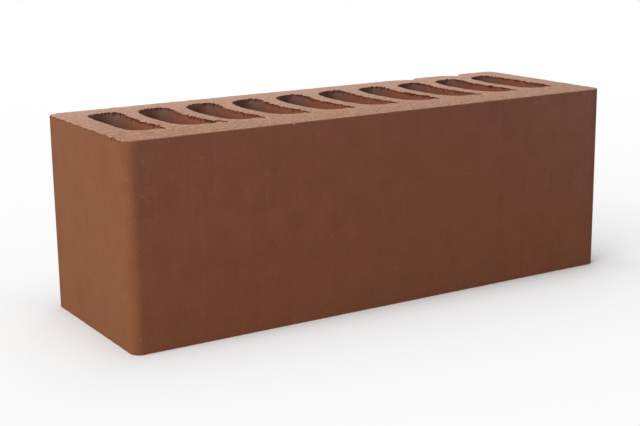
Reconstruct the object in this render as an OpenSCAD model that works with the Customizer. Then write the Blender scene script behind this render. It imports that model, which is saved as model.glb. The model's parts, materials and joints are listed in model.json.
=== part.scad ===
// Hollow facing brick of fired clay, made as one piece. The clay was pushed through a die and cut
// by a wire, so one outline with its slots runs straight up from the lower bed to the upper bed.
// The brick lies on its lower bed: X runs along it, Y across it, and the face that shows in a wall
// looks towards -Y. The origin is the middle of the lower bed.

/* [Block] */
// Length of the brick, from header end to header end
brick_length = 250; // [200:1:290]
// Width of the brick, from the facing side to the back
brick_width = 85; // [75:1:130]
// Height of the brick, from bed to bed
brick_height = 88; // [40:1:140]
// Radius of the four upright corners
corner_radius = 4.5; // [1:0.5:10]

/* [Walls] */
// Thickness of the wall behind the facing side
facing_wall = 21; // [12:0.5:24]
// Thickness of the wall at the back
back_wall = 12; // [10:0.5:16]
// Thickness of the wall at each header end
header_wall = 12; // [10:0.5:20]
// Thickness of the web between two slots
web = 8; // [5:0.5:11]

/* [Slots] */
// Number of slots in the row
slot_count = 10; // [8:1:12]

/* [Hidden] */
$fn = 96;

// The slots share evenly what the walls and webs leave of the length and the width
slot_width = (brick_length - 2 * header_wall - (slot_count - 1) * web) / slot_count;
slot_length = brick_width - facing_wall - back_wall;
slot_pitch = slot_width + web;
slot_row_y = (facing_wall - back_wall) / 2;
// A slot's cutter passes both beds by this much
cut_past = 1;

// Outline of the block seen from above, with its corners rounded
module block_outline() {
    corner_x = brick_length / 2 - corner_radius;
    corner_y = brick_width / 2 - corner_radius;
    square([brick_length, 2 * corner_y], center = true);
    square([2 * corner_x, brick_width], center = true);
    for (x = [-corner_x, corner_x], y = [-corner_y, corner_y])
        translate([x, y])
            circle(r = corner_radius);
}

// Outline of one slot seen from above: straight sides, with a half circle at each end
module slot_outline() {
    end_y = (slot_length - slot_width) / 2;
    square([slot_width, 2 * end_y], center = true);
    for (y = [-end_y, end_y])
        translate([0, y])
            circle(d = slot_width);
}

// The row of slots, nearer to the back than to the facing side
module slot_row() {
    for (i = [0 : slot_count - 1])
        translate([(i - (slot_count - 1) / 2) * slot_pitch, slot_row_y, -cut_past])
            linear_extrude(brick_height + 2 * cut_past)
                slot_outline();
}

module brick() {
    color("#7d523b")
        difference() {
            linear_extrude(brick_height)
                block_outline();
            slot_row();
        }
}

brick();
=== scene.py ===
import json
import math
import random

import bmesh
import bpy
from mathutils import Matrix, Vector, noise


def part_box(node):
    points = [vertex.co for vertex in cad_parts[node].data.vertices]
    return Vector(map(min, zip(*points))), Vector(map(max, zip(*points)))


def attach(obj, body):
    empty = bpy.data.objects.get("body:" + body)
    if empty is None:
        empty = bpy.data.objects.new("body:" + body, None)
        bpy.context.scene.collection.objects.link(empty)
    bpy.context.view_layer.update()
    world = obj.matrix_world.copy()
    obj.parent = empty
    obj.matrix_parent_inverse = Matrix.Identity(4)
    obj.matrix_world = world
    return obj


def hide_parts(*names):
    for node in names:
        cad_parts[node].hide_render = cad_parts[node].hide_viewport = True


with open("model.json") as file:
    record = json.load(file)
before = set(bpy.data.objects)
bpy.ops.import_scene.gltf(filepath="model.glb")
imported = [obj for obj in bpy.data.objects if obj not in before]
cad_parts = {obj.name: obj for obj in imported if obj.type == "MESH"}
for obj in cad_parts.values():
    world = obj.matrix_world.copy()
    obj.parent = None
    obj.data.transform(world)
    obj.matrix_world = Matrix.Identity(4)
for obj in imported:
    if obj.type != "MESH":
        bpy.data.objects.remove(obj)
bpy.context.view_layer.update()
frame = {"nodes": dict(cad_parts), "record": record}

# a hollow clay brick, drawn again on its packed sizes with what the wire, the kiln and handling did to it;
# X runs along it, Y across it, and its facing side looks towards -Y
scene = bpy.context.scene
scene.view_settings.view_transform = "Standard"
mm = 0.001
mixFrom, mixTo, mixOut = 6, 7, 2  # sockets of a Mix node that mixes colours
print("frame loaded:", sorted(frame["nodes"]))


# sRGB hex to the linear values that a shader takes
def hexColor(code):
    parts = [int(code[i:i + 2], 16) / 255 for i in (1, 3, 5)]
    linear = [p / 12.92 if p <= 0.04045 else ((p + 0.055) / 1.055) ** 2.4 for p in parts]
    return (*linear, 1.0)


# one node with its settings; an input is a value, or another node's output to link
def addNode(tree, kind, inputs=None, **settings):
    node = tree.nodes.new(kind)
    for name, value in settings.items():
        setattr(node, name, value)
    for name, value in (inputs or {}).items():
        if isinstance(value, bpy.types.NodeSocket):
            tree.links.new(value, node.inputs[name])
        else:
            node.inputs[name].default_value = value
    return node


def newMaterial(name):
    material = bpy.data.materials.new(name)
    material.use_nodes = True
    material.node_tree.nodes.clear()
    return material, material.node_tree


# how many times a pattern of this size, in millimetres, fits in one metre of Object coordinates
def perMetre(size):
    return 1 / (size * mm)


# the brick's shape in millimetres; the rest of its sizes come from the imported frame
brickShape = {
    "web": 8.0,
    "facingWall": 21.0,
    "backWall": 12.0,
    "cornerRadius": 4.5,
    "quarterSteps": 27,  # odd, so that one ray of each quarter ends in the cell's corner
    "sideCuts": 51,  # about 0.7 mm apart along a slot's straight side
    "crowding": 1.5,  # draws the rays together near the brick's long sides
    # rings of points from a slot's rim to its cell's edge
    "ringShares": (0.03, 0.09, 0.19, 0.34, 0.52, 0.7, 0.85, 0.95, 0.99, 1.0),
    "headerGap": 1.0,  # widest step between two points across a header
    "stripShares": (0.2, 0.4, 0.55, 0.7, 0.82, 0.9, 0.95, 0.985, 1.0),  # rows of points out to a header
    "rowDepths": (0.35, 0.9, 1.8, 3.6, 8.0, 20.0, 44.0),  # and down the walls, mirrored in the lower half
    "closeBy": 0.01,  # points nearer than this are one
    "sharpAngle": 38,  # degrees between two faces, from which their edge stays sharp
}

boxLow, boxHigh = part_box("brick")
length, width, height = ((boxHigh - boxLow) / mm)[:]
slotBoxes = [opening["box_m"] for opening in frame["record"]["physics"]["openings"]]
slotX = sorted((low[0] + high[0]) / 2 / mm for low, high in slotBoxes)
pitch = (slotX[-1] - slotX[0]) / (len(slotX) - 1)
slotWidth = pitch - brickShape["web"]
slotLength = width - brickShape["facingWall"] - brickShape["backWall"]
slotY = (brickShape["facingWall"] - brickShape["backWall"]) / 2
endRadius = slotWidth / 2
endY = slotLength / 2 - endRadius  # a round end's centre, from the slot's middle
cornerX = length / 2 - brickShape["cornerRadius"]  # a rounded corner's centre, from the brick's middle
cornerY = width / 2 - brickShape["cornerRadius"]
rowDepths = [*brickShape["rowDepths"], *(height - d for d in brickShape["rowDepths"][-2::-1]), height]
bedFinish, skinFinish, slotFinish = 0, 1, 2  # places in the brick's list of materials


def pointsOf(geometry):
    return [g for g in geometry if isinstance(g, bmesh.types.BMVert)]


# a full circle, parted across its middle, drawn apart and filled with points along the straight sides
def drawSlotRim(bm):
    steps = brickShape["quarterSteps"] * 4
    rim = bmesh.ops.create_circle(bm, cap_ends=False, segments=steps, radius=endRadius)["verts"]
    bmesh.ops.rotate(bm, cent=(0, 0, 0), matrix=Matrix.Rotation(math.pi / steps, 3, "Z"), verts=rim)
    for side in (-1, 1):
        half = [v for v in rim if v.co.y * side > 0]
        bmesh.ops.translate(bm, vec=(0, side * endY, 0), verts=half)
    longEdges = [e for e in bm.edges if e.calc_length() > endY]
    bmesh.ops.subdivide_edges(bm, edges=longEdges, cuts=brickShape["sideCuts"])


# where the ray from a point of the rim meets the edge of the slot's own cell
def cellEdgePoint(rim):
    sideX = math.copysign(pitch / 2, rim.x)
    past = abs(rim.y) - endY
    if past <= 0:
        return Vector((sideX, rim.y, 0))
    startY = math.copysign(endY, rim.y)
    edgeY = math.copysign(width / 2, rim.y) - slotY
    turn = math.atan2(past, abs(rim.x)) / (math.pi / 4)  # 0 at the side, 1 at the corner, 2 at the end
    if turn > 1:
        return Vector((sideX * (2 - turn), edgeY, 0))
    return Vector((sideX, startY + (edgeY - startY) * (1 - (1 - turn) ** brickShape["crowding"]), 0))


# extrudes loose edges and gives back the new points and the new edges between them
def extrudeEdges(bm, edges):
    made = bmesh.ops.extrude_edge_only(bm, edges=edges)["geom"]
    points = pointsOf(made)
    fresh = set(points)
    return points, [g for g in made if isinstance(g, bmesh.types.BMEdge) and fresh.issuperset(g.verts)]


# rings of quads from the slot's rim out to its cell's edge
def growCell(bm, layers):
    for v in bm.verts:
        v[layers["rim"]] = v.co
        v[layers["cellEdge"]] = cellEdgePoint(v.co)
    edges = bm.edges[:]
    for share in brickShape["ringShares"]:
        points, edges = extrudeEdges(bm, edges)
        for v in points:
            v.co = v[layers["rim"]].lerp(v[layers["cellEdge"]], share)
            v[layers["share"]] = share


# one cell for each slot, side by side
def layCells(bm, layers):
    cell = bm.verts[:] + bm.edges[:] + bm.faces[:]
    for slot, x in enumerate(slotX):
        points = pointsOf(bmesh.ops.duplicate(bm, geom=cell)["geom"])
        bmesh.ops.translate(bm, vec=(x, slotY, 0), verts=points)
        for v in points:
            v[layers["slot"]] = slot
    bmesh.ops.delete(bm, geom=pointsOf(cell), context="VERTS")
    bmesh.ops.remove_doubles(bm, verts=bm.verts, dist=brickShape["closeBy"])


# a strip of clay at each header end, then the square corners drawn in to quarter circles
def addHeaders(bm):
    rowEnd = pitch * len(slotX) / 2

    def rowEndEdges(side, longest):
        return [e for e in bm.edges if e.is_boundary and e.calc_length() > longest
                and all(abs(v.co.x - side * rowEnd) < brickShape["closeBy"] for v in e.verts)]

    for side in (-1, 1):
        while wide := rowEndEdges(side, brickShape["headerGap"]):
            bmesh.ops.subdivide_edges(bm, edges=wide, cuts=1)
        edges = rowEndEdges(side, 0)
        for share in brickShape["stripShares"]:
            points, edges = extrudeEdges(bm, edges)
            for v in points:
                v.co.x = side * (rowEnd + share * (length / 2 - rowEnd))
    for v in bm.verts:
        overX, overY = abs(v.co.x) - cornerX, abs(v.co.y) - cornerY
        if overX > 0 and overY > 0:
            draw = max(overX, overY) / math.hypot(overX, overY)
            v.co.x = math.copysign(cornerX + overX * draw, v.co.x)
            v.co.y = math.copysign(cornerY + overY * draw, v.co.y)


# the lower bed, and the walls between the two beds inside the slots and round the outside
def dropWalls(bm, layers):
    bmesh.ops.translate(bm, vec=(0, 0, height), verts=bm.verts)
    openEdges = [e for e in bm.edges if e.is_boundary]
    slotRims = [e for e in openEdges if all(v[layers["share"]] == 0 for v in e.verts)]
    inSlots = set(slotRims)
    outline = [e for e in openEdges if e not in inSlots]
    lowerBed = bmesh.ops.duplicate(bm, geom=bm.verts[:] + bm.edges[:] + bm.faces[:])["geom"]
    bmesh.ops.translate(bm, vec=(0, 0, -height), verts=pointsOf(lowerBed))
    for edges, finish in ((slotRims, slotFinish), (outline, skinFinish)):
        for depth in rowDepths:
            points, edges = extrudeEdges(bm, edges)
            for v in points:
                v.co.z = height - depth
            for e in edges:
                e.link_faces[0].material_index = finish
    bmesh.ops.remove_doubles(bm, verts=bm.verts, dist=brickShape["closeBy"])
    bmesh.ops.recalc_face_normals(bm, faces=bm.faces)


# noise from 0 to 1, with swells of about this size in millimetres
def grainAt(co, size):
    return 0.5 + 0.5 * noise.noise(co / size)


# how far inside the outline a point lies, and which way inwards is
def insetFrom(co):
    radius = brickShape["cornerRadius"]
    overX, overY = abs(co.x) - cornerX, abs(co.y) - cornerY
    if overX > 0 and overY > 0:
        out = Vector((math.copysign(overX, co.x), math.copysign(overY, co.y), 0))
        return radius - out.length, -out.normalized()
    if overX > overY:
        return radius - overX, Vector((-math.copysign(1, co.x), 0, 0))
    return radius - overY, Vector((0, -math.copysign(1, co.y), 0))


# where a point of the drawn brick lies: near which bed, how deep, how far from its slot and the outside
def readSpot(v, layers):
    co = v.co.copy()
    upper = co.z > height / 2
    inset, inwards = insetFrom(co)
    return {
        "co": co,
        "upper": upper,
        "depth": min(co.z, height - co.z),
        "intoBed": Vector((0, 0, -1 if upper else 1)),
        "slot": v[layers["slot"]],
        "rim": v[layers["rim"]].copy(),
        "share": v[layers["share"]],  # 0 at the slot's rim, 1 at its cell's edge
        "ray": v[layers["cellEdge"]] - v[layers["rim"]],
        "inset": inset,
        "inwards": inwards,
    }


# low swells and hollows of each surface, in millimetres
relief = {
    "bed": 0.16,
    "bedSize": 5.0,
    "skin": 0.14,
    "skinSize": 38.0,
    "slot": 0.1,
    "slotSize": 2.6,
    "slotStretch": 12,  # drawn out along the way that the clay was pushed
}


def swellMove(spot):
    co, move = spot["co"], Vector()
    if spot["depth"] < brickShape["closeBy"]:
        move += spot["intoBed"] * relief["bed"] * grainAt(co, relief["bedSize"])
    if spot["inset"] < brickShape["closeBy"]:
        move += spot["inwards"] * relief["skin"] * grainAt(co, relief["skinSize"])
    if spot["share"] == 0:
        lines = Vector((co.x, co.y, co.z / relief["slotStretch"]))
        move += spot["ray"].normalized() * relief["slot"] * (grainAt(lines, relief["slotSize"]) - 0.5)
    return move


# what the cutting wire did as it ran through the soft clay towards -X, in millimetres
wireMarks = {
    "seed": 41,
    "bow": (1.8, 2.8),  # it dragged the middle of each web along
    "frontSwing": 0.5,  # the webs' ends swung the other way, by these shares of the bow
    "backSwing": 1.1,
    "bowDepth": 32.0,  # and this far in from the bed nothing of the bow is left
    "tooth": {"half": (0.6, 1.2), "reach": (0.7, 2.5), "drop": (0.9, 2.2)},
    "toothGap": (1.0, 2.5),
    "teethFrom": 0.4,  # radians round the slot's front end, and round its back end
    "teethTo": 1.3,
    "tornFrom": 1.57,  # and the same for the ragged rim between the teeth
    "tornTo": 2.8,
    "coarseSlots": (1, 6, 8),  # on the upper bed the front halves of these rims are torn more coarsely
    "coarse": {"half": 1.25, "reach": 1.4},  # times as wide, and as far back
    "fine": {"half": (0.5, 0.9), "reach": (0.8, 2.0), "drop": (0.8, 1.6)},
    "fineGap": (1.3, 2.2),
    "fineTo": (2.8, 2.7, 2.2),  # on the upper bed the first three slots are finely toothed round their backs
    "corner": {"half": (2.6, 3.6), "reach": (2.0, 3.4), "drop": (2.4, 4.2)},
    "cornerTurn": (0.6, 0.72),  # such a corner is torn out at each rim's front end
    "darkening": 2.2,  # a bite's painted shade is full well before its middle
    "lip": 0.45,  # clay left hanging into the slot between two teeth
    "lipSize": 1.4,
    "lipDepth": 1.5,
    "rimShade": (0.1, 0.65, 0.0),  # painted shade in a line under the rim: at its front, at its back, and left of that
    "shadeDepth": 1.3,
    "rimWear": 0.2,  # legs of what every rim lost
    "rimSpread": 0.8,
    "rimSize": 2.2,
}
# the torn stretch of a rim, measured along it from the middle of its torn side
tornStart = -endY - endRadius * wireMarks["tornFrom"]
tornEnd = endY + endRadius * wireMarks["tornTo"]


def drawBite(draw, kind, at):
    return {"at": at, **{name: draw.uniform(*limits) for name, limits in wireMarks[kind].items()}}


# the webs' bows and the bites out of each slot's torn rim, for the upper and the lower bed
def planWireMarks():
    draw = random.Random(wireMarks["seed"])
    marks = {}
    for upper in (True, False):
        bows = [draw.uniform(*wireMarks["bow"]) for _ in range(len(slotX) + 1)]
        bows[0] = bows[-1] = 0  # the headers stayed straight
        slots = []
        for _ in slotX:
            bites = [drawBite(draw, "corner", -endY - endRadius * draw.uniform(*wireMarks["cornerTurn"]))]
            at = -endY - endRadius * wireMarks["teethFrom"]
            while at < endY + endRadius * wireMarks["teethTo"]:
                bites.append(drawBite(draw, "tooth", at))
                at += draw.uniform(*wireMarks["toothGap"])
            slots.append(bites)
        marks[upper] = {"bows": bows, "slots": slots}
    for bites, turn in zip(marks[True]["slots"], wireMarks["fineTo"]):
        at = endY + endRadius * wireMarks["teethTo"]
        while at < endY + endRadius * turn:
            bites.append(drawBite(draw, "fine", at))
            at += draw.uniform(*wireMarks["fineGap"])
    for slot in wireMarks["coarseSlots"]:
        for bite in marks[True]["slots"][slot]:
            if bite["at"] < 0:
                for name, times in wireMarks["coarse"].items():
                    bite[name] *= times
    return marks


# the drag of the webs at a point
def bowMove(co, depth, bows):
    across = (co.y - slotY) / (slotLength / 2)
    end, wall = ("back", "backWall") if across > 0 else ("front", "facingWall")
    endSwing = wireMarks[end + "Swing"]
    if abs(across) < 1:
        swing = 1 - (1 + endSwing) * across ** 2
    else:
        swing = -endSwing * (width / 2 - abs(co.y)) / brickShape[wall]
    fade = max(0, 1 - depth / wireMarks["bowDepth"]) ** 2
    place = min(max(co.x / pitch + len(slotX) / 2, 0), len(slotX))
    left = min(int(place), len(slotX) - 1)
    bow = bows[left] + (bows[left + 1] - bows[left]) * (place - left)
    return Vector((-bow * swing * fade, 0, 0))


# distance along a rim from the middle of its torn side; it is less than 0 towards the front
def alongRim(rim):
    past = abs(rim.y) - endY
    if past > 0:
        return math.copysign(endY + endRadius * math.atan2(past, rim.x), rim.y)
    if rim.x > 0:
        return rim.y
    return math.copysign(2 * endY + endRadius * math.pi, rim.y) - rim.y


# how far a rim is bitten back at a point, and how deep inside a bite the point lies
def biteAt(bites, at, depth):
    back, inside = 0.0, 0.0
    for bite in bites:
        part = max(0, 1 - abs(at - bite["at"]) / bite["half"]) * max(0, 1 - depth / bite["drop"])
        back = max(back, part * bite["reach"])
        inside = max(inside, part)
    return back, inside


# each slot's rim is worn a little, and torn on the side where the wire left the clay: a point's move and
# its painted shade, in the bites and in a line under the rim
def tearRim(spot, bites):
    move, dark = Vector(), 0.0
    depth, share, outwards = spot["depth"], spot["share"], spot["ray"].normalized()
    uneven = max(0, noise.noise(spot["co"] / wireMarks["rimSize"]))
    wear = wireMarks["rimWear"] + wireMarks["rimSpread"] * uneven
    lost = 1 - (spot["ray"].length * share + depth) / wear
    if lost > 0:
        move += (outwards + spot["intoBed"]) * lost * wear / 2
    at = alongRim(spot["rim"])
    if share == 1 or not tornStart < at < tornEnd:
        return move, dark
    bitten, inside = biteAt(bites, at, depth)
    if inside == 0:
        lipLine = Vector((at, spot["slot"] * pitch, height if spot["upper"] else 0))
        hanging = max(0, 1 - depth / wireMarks["lipDepth"])
        bitten = -wireMarks["lip"] * grainAt(lipLine, wireMarks["lipSize"]) * hanging
    move += outwards * bitten * (1 - share)
    if share == 0:
        front, back, left = wireMarks["rimShade"]
        if at < endY:
            shade = back + (front - back) * min(1, (endY - at) / (2 * endY))
        else:
            shade = back + (left - back) * (at - endY) / (tornEnd - endY)
        shade *= max(0, 1 - depth / wireMarks["shadeDepth"])
        dark = min(1, max(shade, inside * wireMarks["darkening"]))
    return move, dark


# wear and chips along the outer arrises: legs of the lost corner, in millimetres
arrises = {
    "wear": 0.16,
    "wearSpread": 0.35,
    "wearSize": 3.5,
    "exitWear": 0.2,  # the header where the wire left the brick is crumbly, with painted shade as dark hairs along it
    "exitSpread": 2.9,
    "exitSizes": (4.2, 1.3),
    "exitFacing": 0.5,  # on that header the way inwards runs along X by more than this share
    "exitShade": (0.18, 0.55),  # painted shade of the hairs: on the whole, and at most
    "exitShadeSwing": 1.5,
    "exitShadeSize": 1.8,
    "downShare": 0.8,  # wear reaches less far down than in
    "chipSlopes": (1.6, 4.5),  # a long slope up from the left, and a steep step at the right
    "chipRough": 0.25,
    "chipRoughSize": 2.5,
    "chipLeast": 0.1,
    "chips": [  # on the upper bed, from and to these places along the brick
        {"from": 91.5, "to": 104.0, "back": True, "inward": 6.0, "down": 2.4},
        {"from": 62.0, "to": 75.0, "back": True, "inward": 3.4, "down": 1.6},
        {"from": -50.0, "to": -48.0, "back": False, "inward": 0.6, "down": 0.5},
    ],
}


# inward and downward legs of what is missing from the arris beside a point, and 1 where a chip came off
def lostCorner(co, upper):
    for chip in arrises["chips"]:
        along = (co.x - chip["from"]) / (chip["to"] - chip["from"])
        if upper and 0 < along < 1 and (co.y > 0) == chip["back"]:
            rise, step = arrises["chipSlopes"]
            share = min(1, along * rise, (1 - along) * step)
            share *= 1 + arrises["chipRough"] * noise.noise(co / arrises["chipRoughSize"])
            least = arrises["chipLeast"]
            return chip["inward"] * share + least, chip["down"] * share + least, 1.0
    if upper and co.x < -cornerX:
        coarse, fine = arrises["exitSizes"]
        line = Vector((co.y, 0, length))
        leg = arrises["exitWear"] + arrises["exitSpread"] * grainAt(line, coarse) * grainAt(line, fine)
    else:
        leg = arrises["wear"] + arrises["wearSpread"] * max(0, noise.noise(co / arrises["wearSize"]))
    return leg, leg * arrises["downShare"], 0.0


# the outer arris beside a point: its move, its painted shade and its bareness
def wearArris(spot):
    legIn, legDown, bare = lostCorner(spot["co"], spot["upper"])
    lost = 1 - spot["inset"] / legIn - spot["depth"] / legDown
    if lost <= 0:
        return Vector(), 0.0, 0.0
    dark = 0.0
    if spot["upper"] and spot["inwards"].x > arrises["exitFacing"]:
        whole, most = arrises["exitShade"]
        hairs = noise.noise(Vector((spot["co"].y, length, 0)) / arrises["exitShadeSize"])
        dark = min(most, max(0, whole + arrises["exitShadeSwing"] * hairs))
    return (spot["inwards"] * legIn + spot["intoBed"] * legDown) * lost / 2, dark, bare


# every point of the drawn brick moves by what its surface went through
def shapeSurfaces(bm, layers, marks):
    for v in bm.verts:
        spot = readSpot(v, layers)
        plan = marks[spot["upper"]]
        rimMove, rimPaintedShade = tearRim(spot, plan["slots"][spot["slot"]])
        arrisMove, arrisPaintedShade, bare = wearArris(spot)
        v.co += bowMove(spot["co"], spot["depth"], plan["bows"]) + swellMove(spot) + rimMove + arrisMove
        # painted shade of the torn rims and of the crumbly header arris
        v[layers["paintedShade"]] = max(rimPaintedShade, arrisPaintedShade)
        v[layers["chipped"]] = bare


# cracks in the upper bed that run on from the torn corners, in millimetres
cracks = {
    "start": (-1.5, 1.8),  # from the corner of the slot's box
    "slope": (0.46, -0.89),
    "lengths": (1.6, 0.0, 2.0, 1.4, 1.4, 1.4, 1.6, 2.8, 1.6, 0.8),  # one for each slot but the second
    "longOne": ((-1.0, -0.4), (4.2, 3.4), (6.2, -2.0)),  # whose crack is longer and bends
    "longSlot": 1,
    "drop": 0.9,  # the clay on a crack's right sank by this much, and by a share of it at its far end
    "farDrop": 0.65,
    "width": 2.6,  # it rises again over this width
    "step": 0.35,  # and on its left it breaks off within this
    "dark": 0.9,  # how far to either side it is painted with shade
    "darkRise": 2.0,  # the painted shade is full over the inner half of that
    "farDark": 0.85,  # share of its painted shade at its far end
    "wander": 0.25,
    "wanderSize": 1.3,
    "divide": (1.8, 1.3),  # faces nearer than the first are divided, then those nearer than the second
    "bedDepth": 1.0,  # what lies deeper than this is left alone
}


# the line of each crack, which moves with the dragged webs
def planCracks(bows):
    paths = []
    for slot, (x, far) in enumerate(zip(slotX, cracks["lengths"])):
        corner = Vector((x + endRadius, slotY - slotLength / 2)) + Vector(cracks["start"])
        corner += bowMove(corner.to_3d(), 0, bows).to_2d()
        bends = [Vector((0, 0)), Vector(cracks["slope"]) * far]
        if slot == cracks["longSlot"]:
            bends = [Vector(bend) for bend in cracks["longOne"]]
        paths.append([corner + bend for bend in bends])
    return paths


# how far along a crack a point lies, from 0 to 1, and how far to its left; less than 0 is to its right
def nearCrack(path, co):
    share, left = 0.0, math.inf
    for i, (start, end) in enumerate(zip(path, path[1:])):
        along, toPoint = end - start, co.to_2d() - start
        part = min(max(toPoint.dot(along) / along.length_squared, 0), 1)
        away = (toPoint - along * part).length
        if away < abs(left):
            share, left = (i + part) / (len(path) - 1), math.copysign(away, along.cross(toPoint))
    return share, left + cracks["wander"] * noise.noise(co / cracks["wanderSize"])


# the bed's faces beside each crack are divided, then the clay on its right sinks and shade is painted along
# it
def openCracks(bm, paintedShade, bows):
    bedLevel = height - cracks["bedDepth"]
    for path in planCracks(bows):
        for reach in cracks["divide"]:
            edges = set()
            for face in bm.faces:
                middle = face.calc_center_median()
                onBed = face.material_index == bedFinish and middle.z > bedLevel
                if onBed and abs(nearCrack(path, middle)[1]) < reach:
                    edges.update(face.edges)
            bmesh.ops.subdivide_edges(bm, edges=list(edges), cuts=1, use_grid_fill=True)
        # the faces next to the divided ones got more than four corners
        bmesh.ops.poke(bm, faces=[face for face in bm.faces if len(face.verts) > 4])
        for v in bm.verts:
            if v.co.z > bedLevel:
                share, left = nearCrack(path, v.co)
                sunk = 1 - left / cracks["step"] if left > 0 else 1 + left / cracks["width"]
                if sunk > 0:
                    v.co.z -= cracks["drop"] * sunk * (1 + (cracks["farDrop"] - 1) * share)
                    dark = min(1, cracks["darkRise"] * (1 - abs(left) / cracks["dark"]))
                    v[paintedShade] = max(v[paintedShade], dark * (1 + (cracks["farDark"] - 1) * share))


def makeBrick(materials):
    bm = bmesh.new()
    layers = {name: bm.verts.layers.float_vector.new(name) for name in ("rim", "cellEdge")}
    layers["slot"] = bm.verts.layers.int.new("slot")
    for name in ("share", "paintedShade", "chipped"):
        layers[name] = bm.verts.layers.float.new(name)
    drawSlotRim(bm)
    growCell(bm, layers)
    layCells(bm, layers)
    addHeaders(bm)
    dropWalls(bm, layers)
    print("brick drawn:", len(bm.verts), "points")
    marks = planWireMarks()
    shapeSurfaces(bm, layers, marks)
    openCracks(bm, layers["paintedShade"], marks[True]["bows"])
    for face in bm.faces:
        face.smooth = True
    for e in bm.edges:
        e.smooth = e.calc_face_angle() < math.radians(brickShape["sharpAngle"])
    bmesh.ops.scale(bm, vec=(mm, mm, mm), verts=bm.verts)
    # only the two marks that the materials read stay on the mesh
    for name in ("rim", "cellEdge"):
        bm.verts.layers.float_vector.remove(bm.verts.layers.float_vector[name])
    bm.verts.layers.float.remove(bm.verts.layers.float["share"])
    bm.verts.layers.int.remove(bm.verts.layers.int["slot"])
    mesh = bpy.data.meshes.new("firedBrick")
    bm.to_mesh(mesh)
    bm.free()
    for material in materials:
        mesh.materials.append(material)
    piece = bpy.data.objects.new("firedBrick", mesh)
    scene.collection.objects.link(piece)
    triangles = sum(len(p.vertices) - 2 for p in mesh.polygons)
    print("brick shaped:", len(mesh.vertices), "points,", triangles, "triangles")
    return piece


# the beds: clay torn open by the cutting wire, so it is pale, dry and sandy, with faint lines along its run
wireCut = {
    "pale": "#c89f84",
    "dark": "#94664b",
    "contrast": (0.7, 0.9),
    "paintedBackLight": "#ffd0c1",  # painted light and reflection: the bed paler towards its back, as if lit from behind, and a little towards its right, evening out the left lamp's falloff
    "paintedBackLightShare": 0.36,
    "paintedBackLightRun": 60.0,  # to either side of the bed's middle
    "paintedBackLightLean": 0.15,
    "pit": "#5d3d2e",
    # painted shade in the cracks, the torn rims and under the crumbly arris
    "paintedShadeColour": "#52230f",
    "grain": 0.7,  # drawn coarser than the sand, or it wouldn't show
    "clump": 2.2,
    "clumpWeight": 0.25,
    "line": 0.9,
    "lineWeight": 0.35,
    "lineStretch": 0.15,
    "pitSpacing": 5.5,
    "pitSize": 0.5,
    "pitCore": 0.5,  # share of its radius at which a pit is at its full depth
    "bump": 0.6,
    "bumpDepth": 0.3,
    "roughness": 0.95,
    "ior": 1.45,
    "specular": 0.15,
}


def wireCutClay():
    material, tree = newMaterial("wireCutFiredClay")
    place = addNode(tree, "ShaderNodeTexCoord").outputs["Object"]
    alongWire = addNode(tree, "ShaderNodeMapping",
                        {"Vector": place, "Scale": (wireCut["lineStretch"], 1, 1)})
    grain = addNode(tree, "ShaderNodeTexNoise",
                    {"Vector": place, "Scale": perMetre(wireCut["grain"]), "Detail": 4, "Roughness": 0.7})
    clumps = addNode(tree, "ShaderNodeTexNoise",
                     {"Vector": place, "Scale": perMetre(wireCut["clump"]), "Detail": 2})
    lines = addNode(tree, "ShaderNodeTexNoise",
                    {"Vector": alongWire.outputs[0], "Scale": perMetre(wireCut["line"]), "Detail": 2})
    sand = addNode(tree, "ShaderNodeMath",
                   {0: clumps.outputs["Fac"], 1: wireCut["clumpWeight"], 2: grain.outputs["Fac"]},
                   operation="MULTIPLY_ADD")
    rough = addNode(tree, "ShaderNodeMath",
                    {0: lines.outputs["Fac"], 1: wireCut["lineWeight"], 2: sand.outputs[0]},
                    operation="MULTIPLY_ADD")
    low, high = wireCut["contrast"]
    shade = addNode(tree, "ShaderNodeMapRange",
                    {"Value": rough.outputs[0], "From Min": low, "From Max": high})
    # little holes where a grain was pulled out, painted dark as their shade
    holes = addNode(tree, "ShaderNodeTexVoronoi",
                    {"Vector": place, "Scale": perMetre(wireCut["pitSpacing"])})
    holeEdge = wireCut["pitSize"] / wireCut["pitSpacing"]
    hole = addNode(tree, "ShaderNodeMapRange",
                   {"Value": holes.outputs["Distance"], "From Min": holeEdge,
                    "From Max": holeEdge * wireCut["pitCore"]})
    across = addNode(tree, "ShaderNodeVectorMath",
                     {0: place, 1: (wireCut["paintedBackLightLean"], 1, 0)}, operation="DOT_PRODUCT")
    run = wireCut["paintedBackLightRun"] * mm
    backward = addNode(tree, "ShaderNodeMapRange",
                       {"Value": across.outputs["Value"], "From Min": -run, "From Max": run,
                        "To Max": wireCut["paintedBackLightShare"]})
    paintedShade = addNode(tree, "ShaderNodeAttribute", attribute_name="paintedShade")
    # each colour is laid over those before it
    colour = hexColor(wireCut["dark"])
    for mask, name in ((shade.outputs[0], "pale"), (backward.outputs[0], "paintedBackLight"),
                       (hole.outputs[0], "pit"), (paintedShade.outputs["Fac"], "paintedShadeColour")):
        laid = addNode(tree, "ShaderNodeMix",
                       {"Factor": mask, mixFrom: colour, mixTo: hexColor(wireCut[name])}, data_type="RGBA")
        colour = laid.outputs[mixOut]
    level = addNode(tree, "ShaderNodeMath", {0: rough.outputs[0], 1: hole.outputs[0]}, operation="SUBTRACT")
    bump = addNode(tree, "ShaderNodeBump",
                   {"Height": level.outputs[0], "Strength": wireCut["bump"],
                    "Distance": wireCut["bumpDepth"] * mm})
    shader = addNode(tree, "ShaderNodeBsdfPrincipled",
                     {"Base Color": colour, "Roughness": wireCut["roughness"], "IOR": wireCut["ior"],
                      "Specular IOR Level": wireCut["specular"], "Normal": bump.outputs[0]})
    addNode(tree, "ShaderNodeOutputMaterial", {"Surface": shader.outputs[0]})
    return material
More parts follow.
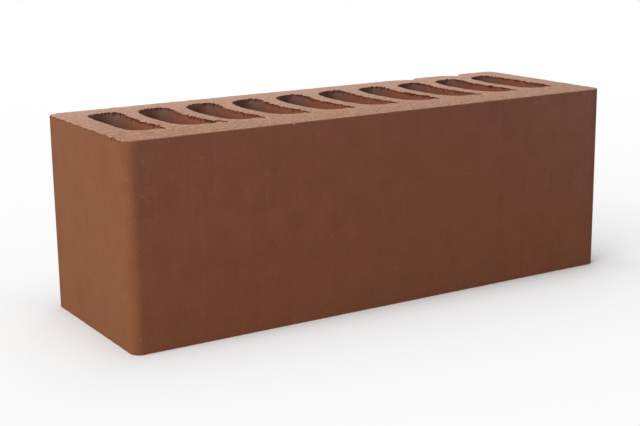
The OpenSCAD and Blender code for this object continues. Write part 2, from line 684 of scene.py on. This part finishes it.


# the outside: clay burnished by the steel die, so it is smooth and nearly matt, clouded from the kiln,
# with hair-thin upright drag lines, small pits painted dark as their shade, pale grains, and rubbed paler at
# the arrises
extruded = {
    "red": "#794931",
    "brown": "#784933",
    "paintedSheen": "#794b39",  # painted sheen: the upper part a little greyer, standing in for the sky's reflection on it
    "paintedSheenFrom": 0.25,  # share of the height
    "paintedRightLight": "#7a5043",  # painted light: greyer still towards the right end, as if lit from behind on the right
    "paintedRightLightFrom": 40.0,
    "paintedWarmLight": "#7a4c2e",  # painted warm light: both headers yellower, standing in for a warm lamp from the left
    "paintedWarmLightShare": 0.8,
    "pit": "#3d251b",
    "speck": "#a17862",
    "rubbed": "#a07a64",
    "bare": "#b98c72",  # where a chip came off
    # painted shade under the crumbly header arris
    "paintedShadeColour": "#3a2117",
    "cloud": 85.0,
    "cloudEdges": (0.36, 0.64),  # noise below the first is red, above the second brown
    "patch": 9.0,
    "patchWeight": 0.7,
    "dragLine": 1.4,
    "dragStretch": 0.02,
    "dragWeight": 0.35,
    "grain": 0.7,  # drawn coarser than the clay's own grain, or it wouldn't show
    "toneFrom": (0.65, 1.4),  # the three patterns together, from their low to their high
    "tone": (0.86, 1.14),
    "dotSpacing": 5.5,
    "dotSize": 0.43,
    "dotCore": 0.4,  # share of its radius at which a dot shows in full
    "pitShare": 0.3,
    "speckShare": 0.6,
    "rub": 0.6,
    "rubShare": 1.1,  # of the grain's noise, which makes it ragged
    "bareEdges": (0.8, 1.0),  # a bare patch's ragged edge
    "bump": 0.2,
    "bumpDepth": 0.1,
    "mattFrom": (0.3, 0.7),  # noise of the clouds, from the smoothest to the roughest
    "roughness": (0.6, 0.74),
    "ior": 1.45,
    "specular": 0.1,
}


# the kiln's clouds all over, with painted sheen greying the upper part, more so at the right end, and
# painted warm light making the headers yellower
def cloudsAndPaintedLight(tree, apart, clouds):
    low, high = extruded["cloudEdges"]
    hue = addNode(tree, "ShaderNodeMapRange",
                  {"Value": clouds.outputs["Fac"], "From Min": low, "From Max": high})
    upward = addNode(tree, "ShaderNodeMapRange",
                     {"Value": apart.outputs["Z"], "From Min": height * extruded["paintedSheenFrom"] * mm,
                      "From Max": height * mm})
    rightward = addNode(tree, "ShaderNodeMapRange",
                        {"Value": apart.outputs["X"], "From Min": extruded["paintedRightLightFrom"] * mm,
                         "From Max": length / 2 * mm, "To Max": upward.outputs[0]})
    alongBrick = addNode(tree, "ShaderNodeMath", {0: apart.outputs["X"]}, operation="ABSOLUTE")
    endward = addNode(tree, "ShaderNodeMapRange",
                      {"Value": alongBrick.outputs[0], "From Min": cornerX * mm,
                       "From Max": length / 2 * mm, "To Max": extruded["paintedWarmLightShare"]})
    colour = hexColor(extruded["red"])
    for mask, name in ((hue, "brown"), (upward, "paintedSheen"), (rightward, "paintedRightLight"), (endward, "paintedWarmLight")):
        laid = addNode(tree, "ShaderNodeMix",
                       {"Factor": mask.outputs[0], mixFrom: colour, mixTo: hexColor(extruded[name])},
                       data_type="RGBA")
        colour = laid.outputs[mixOut]
    return colour


# one dot in each cell of a scattered grid, strong or faint: a pit painted dark as its shade in some, a pale
# grain in more
def pitsAndSpecks(tree, place):
    dots = addNode(tree, "ShaderNodeTexVoronoi",
                   {"Vector": place, "Scale": perMetre(extruded["dotSpacing"])})
    dotEdge = extruded["dotSize"] / extruded["dotSpacing"]
    dot = addNode(tree, "ShaderNodeMapRange",
                  {"Value": dots.outputs["Distance"], "From Min": dotEdge,
                   "From Max": dotEdge * extruded["dotCore"]})
    chance = addNode(tree, "ShaderNodeSeparateColor", {0: dots.outputs["Color"]})
    strength = addNode(tree, "ShaderNodeMath", {0: chance.outputs["Green"]}, operation="SQRT")
    shown = addNode(tree, "ShaderNodeMath",
                    {0: dot.outputs[0], 1: strength.outputs[0]}, operation="MULTIPLY")
    isPit = addNode(tree, "ShaderNodeMath",
                    {0: chance.outputs["Red"], 1: extruded["pitShare"]}, operation="LESS_THAN")
    isSpeck = addNode(tree, "ShaderNodeMath",
                      {0: chance.outputs["Red"], 1: 1 - extruded["speckShare"]}, operation="GREATER_THAN")
    pit = addNode(tree, "ShaderNodeMath", {0: shown.outputs[0], 1: isPit.outputs[0]}, operation="MULTIPLY")
    speck = addNode(tree, "ShaderNodeMath",
                    {0: shown.outputs[0], 1: isSpeck.outputs[0]}, operation="MULTIPLY")
    return pit.outputs[0], speck.outputs[0]


# rubbed along the two beds' arrises, raggedly
def rubbedArrises(tree, apart, grain):
    fromMiddle = addNode(tree, "ShaderNodeMath",
                         {0: apart.outputs["Z"], 1: height * mm / 2}, operation="SUBTRACT")
    nearBed = addNode(tree, "ShaderNodeMath", {0: fromMiddle.outputs[0]}, operation="ABSOLUTE")
    bedward = addNode(tree, "ShaderNodeMapRange",
                      {"Value": nearBed.outputs[0], "From Min": (height / 2 - extruded["rub"]) * mm,
                       "From Max": height / 2 * mm, "To Max": extruded["rubShare"]})
    rub = addNode(tree, "ShaderNodeMath",
                  {0: bedward.outputs[0], 1: grain.outputs["Fac"]}, operation="MULTIPLY", use_clamp=True)
    return rub.outputs[0]


def extrudedClay():
    material, tree = newMaterial("extrudedFiredClay")
    place = addNode(tree, "ShaderNodeTexCoord").outputs["Object"]
    apart = addNode(tree, "ShaderNodeSeparateXYZ", {0: place})
    upright = addNode(tree, "ShaderNodeMapping", {"Vector": place, "Scale": (1, 1, extruded["dragStretch"])})
    clouds = addNode(tree, "ShaderNodeTexNoise",
                     {"Vector": place, "Scale": perMetre(extruded["cloud"]), "Detail": 2})
    patches = addNode(tree, "ShaderNodeTexNoise",
                      {"Vector": place, "Scale": perMetre(extruded["patch"]), "Detail": 3})
    dragLines = addNode(tree, "ShaderNodeTexNoise",
                        {"Vector": upright.outputs[0], "Scale": perMetre(extruded["dragLine"]), "Detail": 2})
    grain = addNode(tree, "ShaderNodeTexNoise",
                    {"Vector": place, "Scale": perMetre(extruded["grain"]), "Detail": 3})
    # lighter and darker by the drag lines, the grain and the patches
    fine = addNode(tree, "ShaderNodeMath",
                   {0: dragLines.outputs["Fac"], 1: extruded["dragWeight"], 2: grain.outputs["Fac"]},
                   operation="MULTIPLY_ADD")
    uneven = addNode(tree, "ShaderNodeMath",
                     {0: patches.outputs["Fac"], 1: extruded["patchWeight"], 2: fine.outputs[0]},
                     operation="MULTIPLY_ADD")
    low, high = extruded["toneFrom"]
    darker, lighter = extruded["tone"]
    tone = addNode(tree, "ShaderNodeMapRange",
                   {"Value": uneven.outputs[0], "From Min": low, "From Max": high,
                    "To Min": darker, "To Max": lighter})
    toned = addNode(tree, "ShaderNodeVectorMath",
                    {0: cloudsAndPaintedLight(tree, apart, clouds), "Scale": tone.outputs[0]}, operation="SCALE")
    pit, speck = pitsAndSpecks(tree, place)
    rub = rubbedArrises(tree, apart, grain)
    chipped = addNode(tree, "ShaderNodeAttribute", attribute_name="chipped")
    ragged = addNode(tree, "ShaderNodeMath",
                     {0: chipped.outputs["Fac"], 1: grain.outputs["Fac"]}, operation="ADD")
    low, high = extruded["bareEdges"]
    chip = addNode(tree, "ShaderNodeMapRange",
                   {"Value": ragged.outputs[0], "From Min": low, "From Max": high})
    paintedShade = addNode(tree, "ShaderNodeAttribute", attribute_name="paintedShade")
    colour = toned.outputs[0]
    for mask, name in ((pit, "pit"), (speck, "speck"), (rub, "rubbed"), (chip.outputs[0], "bare"),
                       (paintedShade.outputs["Fac"], "paintedShadeColour")):
        laid = addNode(tree, "ShaderNodeMix",
                       {"Factor": mask, mixFrom: colour, mixTo: hexColor(extruded[name])}, data_type="RGBA")
        colour = laid.outputs[mixOut]
    level = addNode(tree, "ShaderNodeMath", {0: fine.outputs[0], 1: pit}, operation="SUBTRACT")
    bump = addNode(tree, "ShaderNodeBump",
                   {"Height": level.outputs[0], "Strength": extruded["bump"],
                    "Distance": extruded["bumpDepth"] * mm})
    low, high = extruded["mattFrom"]
    smoothest, roughest = extruded["roughness"]
    matt = addNode(tree, "ShaderNodeMapRange",
                   {"Value": clouds.outputs["Fac"], "From Min": low, "From Max": high,
                    "To Min": smoothest, "To Max": roughest})
    shader = addNode(tree, "ShaderNodeBsdfPrincipled",
                     {"Base Color": colour, "Roughness": matt.outputs[0], "IOR": extruded["ior"],
                      "Specular IOR Level": extruded["specular"], "Normal": bump.outputs[0]})
    addNode(tree, "ShaderNodeOutputMaterial", {"Surface": shader.outputs[0]})
    return material


# inside the slots: clay dragged over the die's cores, redder, with upright lines; painted shade at the back
# ends, in the torn rim's bites and under the rim, and painted fill light where the wall faces right
cored = {
    "line": "#88523d",
    "body": "#8f553d",
    "paintedBackShade": "#705147",  # painted shade: the back ends darker and greyer, where the curved ends lie in shade
    "paintedFillLight": "#967470",  # painted fill light: lighter where the wall turns towards the right, away from the left lamp
    "paintedFillFacing": (0.1, 0.6),  # share of the wall's direction that is towards the right
    "paintedBackShadeFrom": 3.0,  # behind the slot's middle
    "paintedBackShadeShare": 0.9,
    # painted shade in the torn rim's bites and in a line under the rim
    "paintedRimShade": "#421808",
    "lineSize": 1.3,
    "lineEdges": (0.3, 0.7),  # noise below the first is a line, above the second the body
    "lineStretch": 0.06,
    "bump": 0.25,
    "bumpDepth": 0.15,
    "roughness": 0.85,
    "ior": 1.45,
    "specular": 0.2,
}


def coredClay():
    material, tree = newMaterial("coredFiredClay")
    coords = addNode(tree, "ShaderNodeTexCoord")
    place = coords.outputs["Object"]
    apart = addNode(tree, "ShaderNodeSeparateXYZ", {0: place})
    facing = addNode(tree, "ShaderNodeSeparateXYZ", {0: coords.outputs["Normal"]})
    upright = addNode(tree, "ShaderNodeMapping", {"Vector": place, "Scale": (1, 1, cored["lineStretch"])})
    lines = addNode(tree, "ShaderNodeTexNoise",
                    {"Vector": upright.outputs[0], "Scale": perMetre(cored["lineSize"]), "Detail": 4})
    low, high = cored["lineEdges"]
    shade = addNode(tree, "ShaderNodeMapRange",
                    {"Value": lines.outputs["Fac"], "From Min": low, "From Max": high})
    backward = addNode(tree, "ShaderNodeMapRange",
                       {"Value": apart.outputs["Y"], "From Min": (slotY + cored["paintedBackShadeFrom"]) * mm,
                        "From Max": (slotY + slotLength / 2) * mm, "To Max": cored["paintedBackShadeShare"]},
                       interpolation_type="SMOOTHSTEP")
    low, high = cored["paintedFillFacing"]
    paintedFill = addNode(tree, "ShaderNodeMapRange",
                    {"Value": facing.outputs["X"], "From Min": low, "From Max": high,
                     "To Max": backward.outputs[0]})
    paintedShade = addNode(tree, "ShaderNodeAttribute", attribute_name="paintedShade")
    colour = hexColor(cored["line"])
    for mask, name in ((shade.outputs[0], "body"), (backward.outputs[0], "paintedBackShade"),
                       (paintedFill.outputs[0], "paintedFillLight"), (paintedShade.outputs["Fac"], "paintedRimShade")):
        laid = addNode(tree, "ShaderNodeMix",
                       {"Factor": mask, mixFrom: colour, mixTo: hexColor(cored[name])}, data_type="RGBA")
        colour = laid.outputs[mixOut]
    bump = addNode(tree, "ShaderNodeBump",
                   {"Height": lines.outputs["Fac"], "Strength": cored["bump"],
                    "Distance": cored["bumpDepth"] * mm})
    shader = addNode(tree, "ShaderNodeBsdfPrincipled",
                     {"Base Color": colour, "Roughness": cored["roughness"], "IOR": cored["ior"],
                      "Specular IOR Level": cored["specular"], "Normal": bump.outputs[0]})
    addNode(tree, "ShaderNodeOutputMaterial", {"Surface": shader.outputs[0]})
    return material


# 1 for the rays that see the background: the camera's, and those off gloss or through glass
def seesBackground(tree, rays):
    seen = addNode(tree, "ShaderNodeMath",
                   {0: rays.outputs["Is Camera Ray"], 1: rays.outputs["Is Glossy Ray"]}, operation="MAXIMUM")
    clear = addNode(tree, "ShaderNodeMath",
                    {0: seen.outputs[0], 1: rays.outputs["Is Transmission Ray"]}, operation="MAXIMUM")
    return clear.outputs[0]


# the floor: pale matt board that keeps the brick's shadow close by and goes white with the distance from it;
# lengths in metres
floorLook = {
    "size": 8.0,
    "colour": "#f6f6f6",
    "halfWhite": 0.02,  # distance at which it is half white
    "underBrick": 0.0001,  # what lies nearer than this counts as under the brick
}


def paleBoard():
    material, tree = newMaterial("paleMattBoard")
    place = addNode(tree, "ShaderNodeTexCoord").outputs["Object"]
    oneSide = addNode(tree, "ShaderNodeVectorMath", {0: place}, operation="ABSOLUTE")
    past = addNode(tree, "ShaderNodeVectorMath",
                   {0: oneSide.outputs[0], 1: (length * mm / 2, width * mm / 2, 0)}, operation="SUBTRACT")
    outside = addNode(tree, "ShaderNodeVectorMath", {0: past.outputs[0], 1: (0, 0, 0)}, operation="MAXIMUM")
    away = addNode(tree, "ShaderNodeVectorMath", {0: outside.outputs[0]}, operation="LENGTH")
    further = addNode(tree, "ShaderNodeMath",
                      {0: away.outputs["Value"], 1: floorLook["halfWhite"]}, operation="ADD")
    white = addNode(tree, "ShaderNodeMath",
                    {0: away.outputs["Value"], 1: further.outputs[0]}, operation="DIVIDE")
    rays = addNode(tree, "ShaderNodeLightPath")
    share = addNode(tree, "ShaderNodeMath",
                    {0: white.outputs[0], 1: seesBackground(tree, rays)}, operation="MULTIPLY")
    board = addNode(tree, "ShaderNodeBsdfDiffuse", {"Color": hexColor(floorLook["colour"])})
    glow = addNode(tree, "ShaderNodeEmission", {"Color": (1, 1, 1, 1), "Strength": 1.0})
    top = addNode(tree, "ShaderNodeMixShader",
                  {0: share.outputs[0], 1: board.outputs[0], 2: glow.outputs[0]})
    # open from below, and to the light there under the brick, so that its lower bed can be looked at
    side = addNode(tree, "ShaderNodeNewGeometry")
    under = addNode(tree, "ShaderNodeMath",
                    {0: away.outputs["Value"], 1: floorLook["underBrick"]}, operation="LESS_THAN")
    lit = addNode(tree, "ShaderNodeMath",
                  {0: under.outputs[0], 1: rays.outputs["Is Camera Ray"]}, operation="GREATER_THAN")
    opened = addNode(tree, "ShaderNodeMath",
                     {0: side.outputs["Backfacing"], 1: lit.outputs[0]}, operation="MAXIMUM")
    clear = addNode(tree, "ShaderNodeBsdfTransparent")
    both = addNode(tree, "ShaderNodeMixShader",
                   {0: opened.outputs[0], 1: top.outputs[0], 2: clear.outputs[0]})
    addNode(tree, "ShaderNodeOutputMaterial", {"Surface": both.outputs[0]})
    return material


def makeFloor():
    bm = bmesh.new()
    bmesh.ops.create_grid(bm, x_segments=1, y_segments=1, size=floorLook["size"] / 2)
    mesh = bpy.data.meshes.new("floor")
    bm.to_mesh(mesh)
    bm.free()
    mesh.materials.append(paleBoard())
    floor = bpy.data.objects.new("floor", mesh)
    scene.collection.objects.link(floor)


# soft studio light: a broad box from the left, a weak one from behind on the right, and an even white room;
# lengths in metres, power in watts
studio = {
    "room": 0.42,
    "boxes": [
        {"name": "leftBox", "place": (-0.95, -0.28, 0.62), "size": 0.8, "power": 9.8},
        {"name": "backBox", "place": (0.8, 0.9, 0.7), "size": 0.9, "power": 3.8},
    ],
    "aim": (0.0, 0.0, 0.05),
}


def makeLight():
    world = bpy.data.worlds.new("whiteRoom")
    scene.world = world
    world.use_nodes = True
    tree = world.node_tree
    tree.nodes.clear()
    rays = addNode(tree, "ShaderNodeLightPath")
    strength = addNode(tree, "ShaderNodeMapRange",
                       {"Value": seesBackground(tree, rays), "To Min": studio["room"]})
    sky = addNode(tree, "ShaderNodeBackground", {"Color": (1, 1, 1, 1), "Strength": strength.outputs[0]})
    addNode(tree, "ShaderNodeOutputWorld", {"Surface": sky.outputs[0]})
    for box in studio["boxes"]:
        lamp = bpy.data.lights.new(box["name"], "AREA")
        lamp.shape = "SQUARE"
        lamp.size = box["size"]
        lamp.energy = box["power"]
        holder = bpy.data.objects.new(box["name"], lamp)
        holder.location = box["place"]
        toAim = Vector(studio["aim"]) - holder.location
        holder.rotation_euler = toAim.to_track_quat("-Z", "Y").to_euler()
        scene.collection.objects.link(holder)


# where the photograph was taken from; lengths in millimetres, angles in degrees
shot = {
    "azimuth": -31.78,
    "elevation": 13.32,
    "roll": -0.7,
    "distance": 611.6,
    "aim": (-8.4, 2.7, 35.1),
    "lens": 73.1,
    "sensor": 36.0,
    "clipStart": 10.0,
}


def makeCamera():
    camera = bpy.data.cameras.new("camera")
    camera.lens = shot["lens"]
    camera.sensor_width = shot["sensor"]
    camera.sensor_fit = "HORIZONTAL"
    camera.clip_start = shot["clipStart"] * mm
    turn, rise = math.radians(shot["azimuth"]), math.radians(shot["elevation"])
    back = Vector((math.sin(turn) * math.cos(rise), -math.cos(turn) * math.cos(rise), math.sin(rise)))
    holder = bpy.data.objects.new("camera", camera)
    holder.location = (Vector(shot["aim"]) + back * shot["distance"]) * mm
    upright = (-back).to_track_quat("-Z", "Y").to_matrix()
    holder.rotation_euler = (upright @ Matrix.Rotation(math.radians(shot["roll"]), 3, "Z")).to_euler()
    scene.collection.objects.link(holder)
    scene.camera = holder


makeCamera()
makeLight()
makeFloor()
print("camera, light and floor set")

brick = makeBrick([wireCutClay(), extrudedClay(), coredClay()])
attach(brick, "root")
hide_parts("brick")
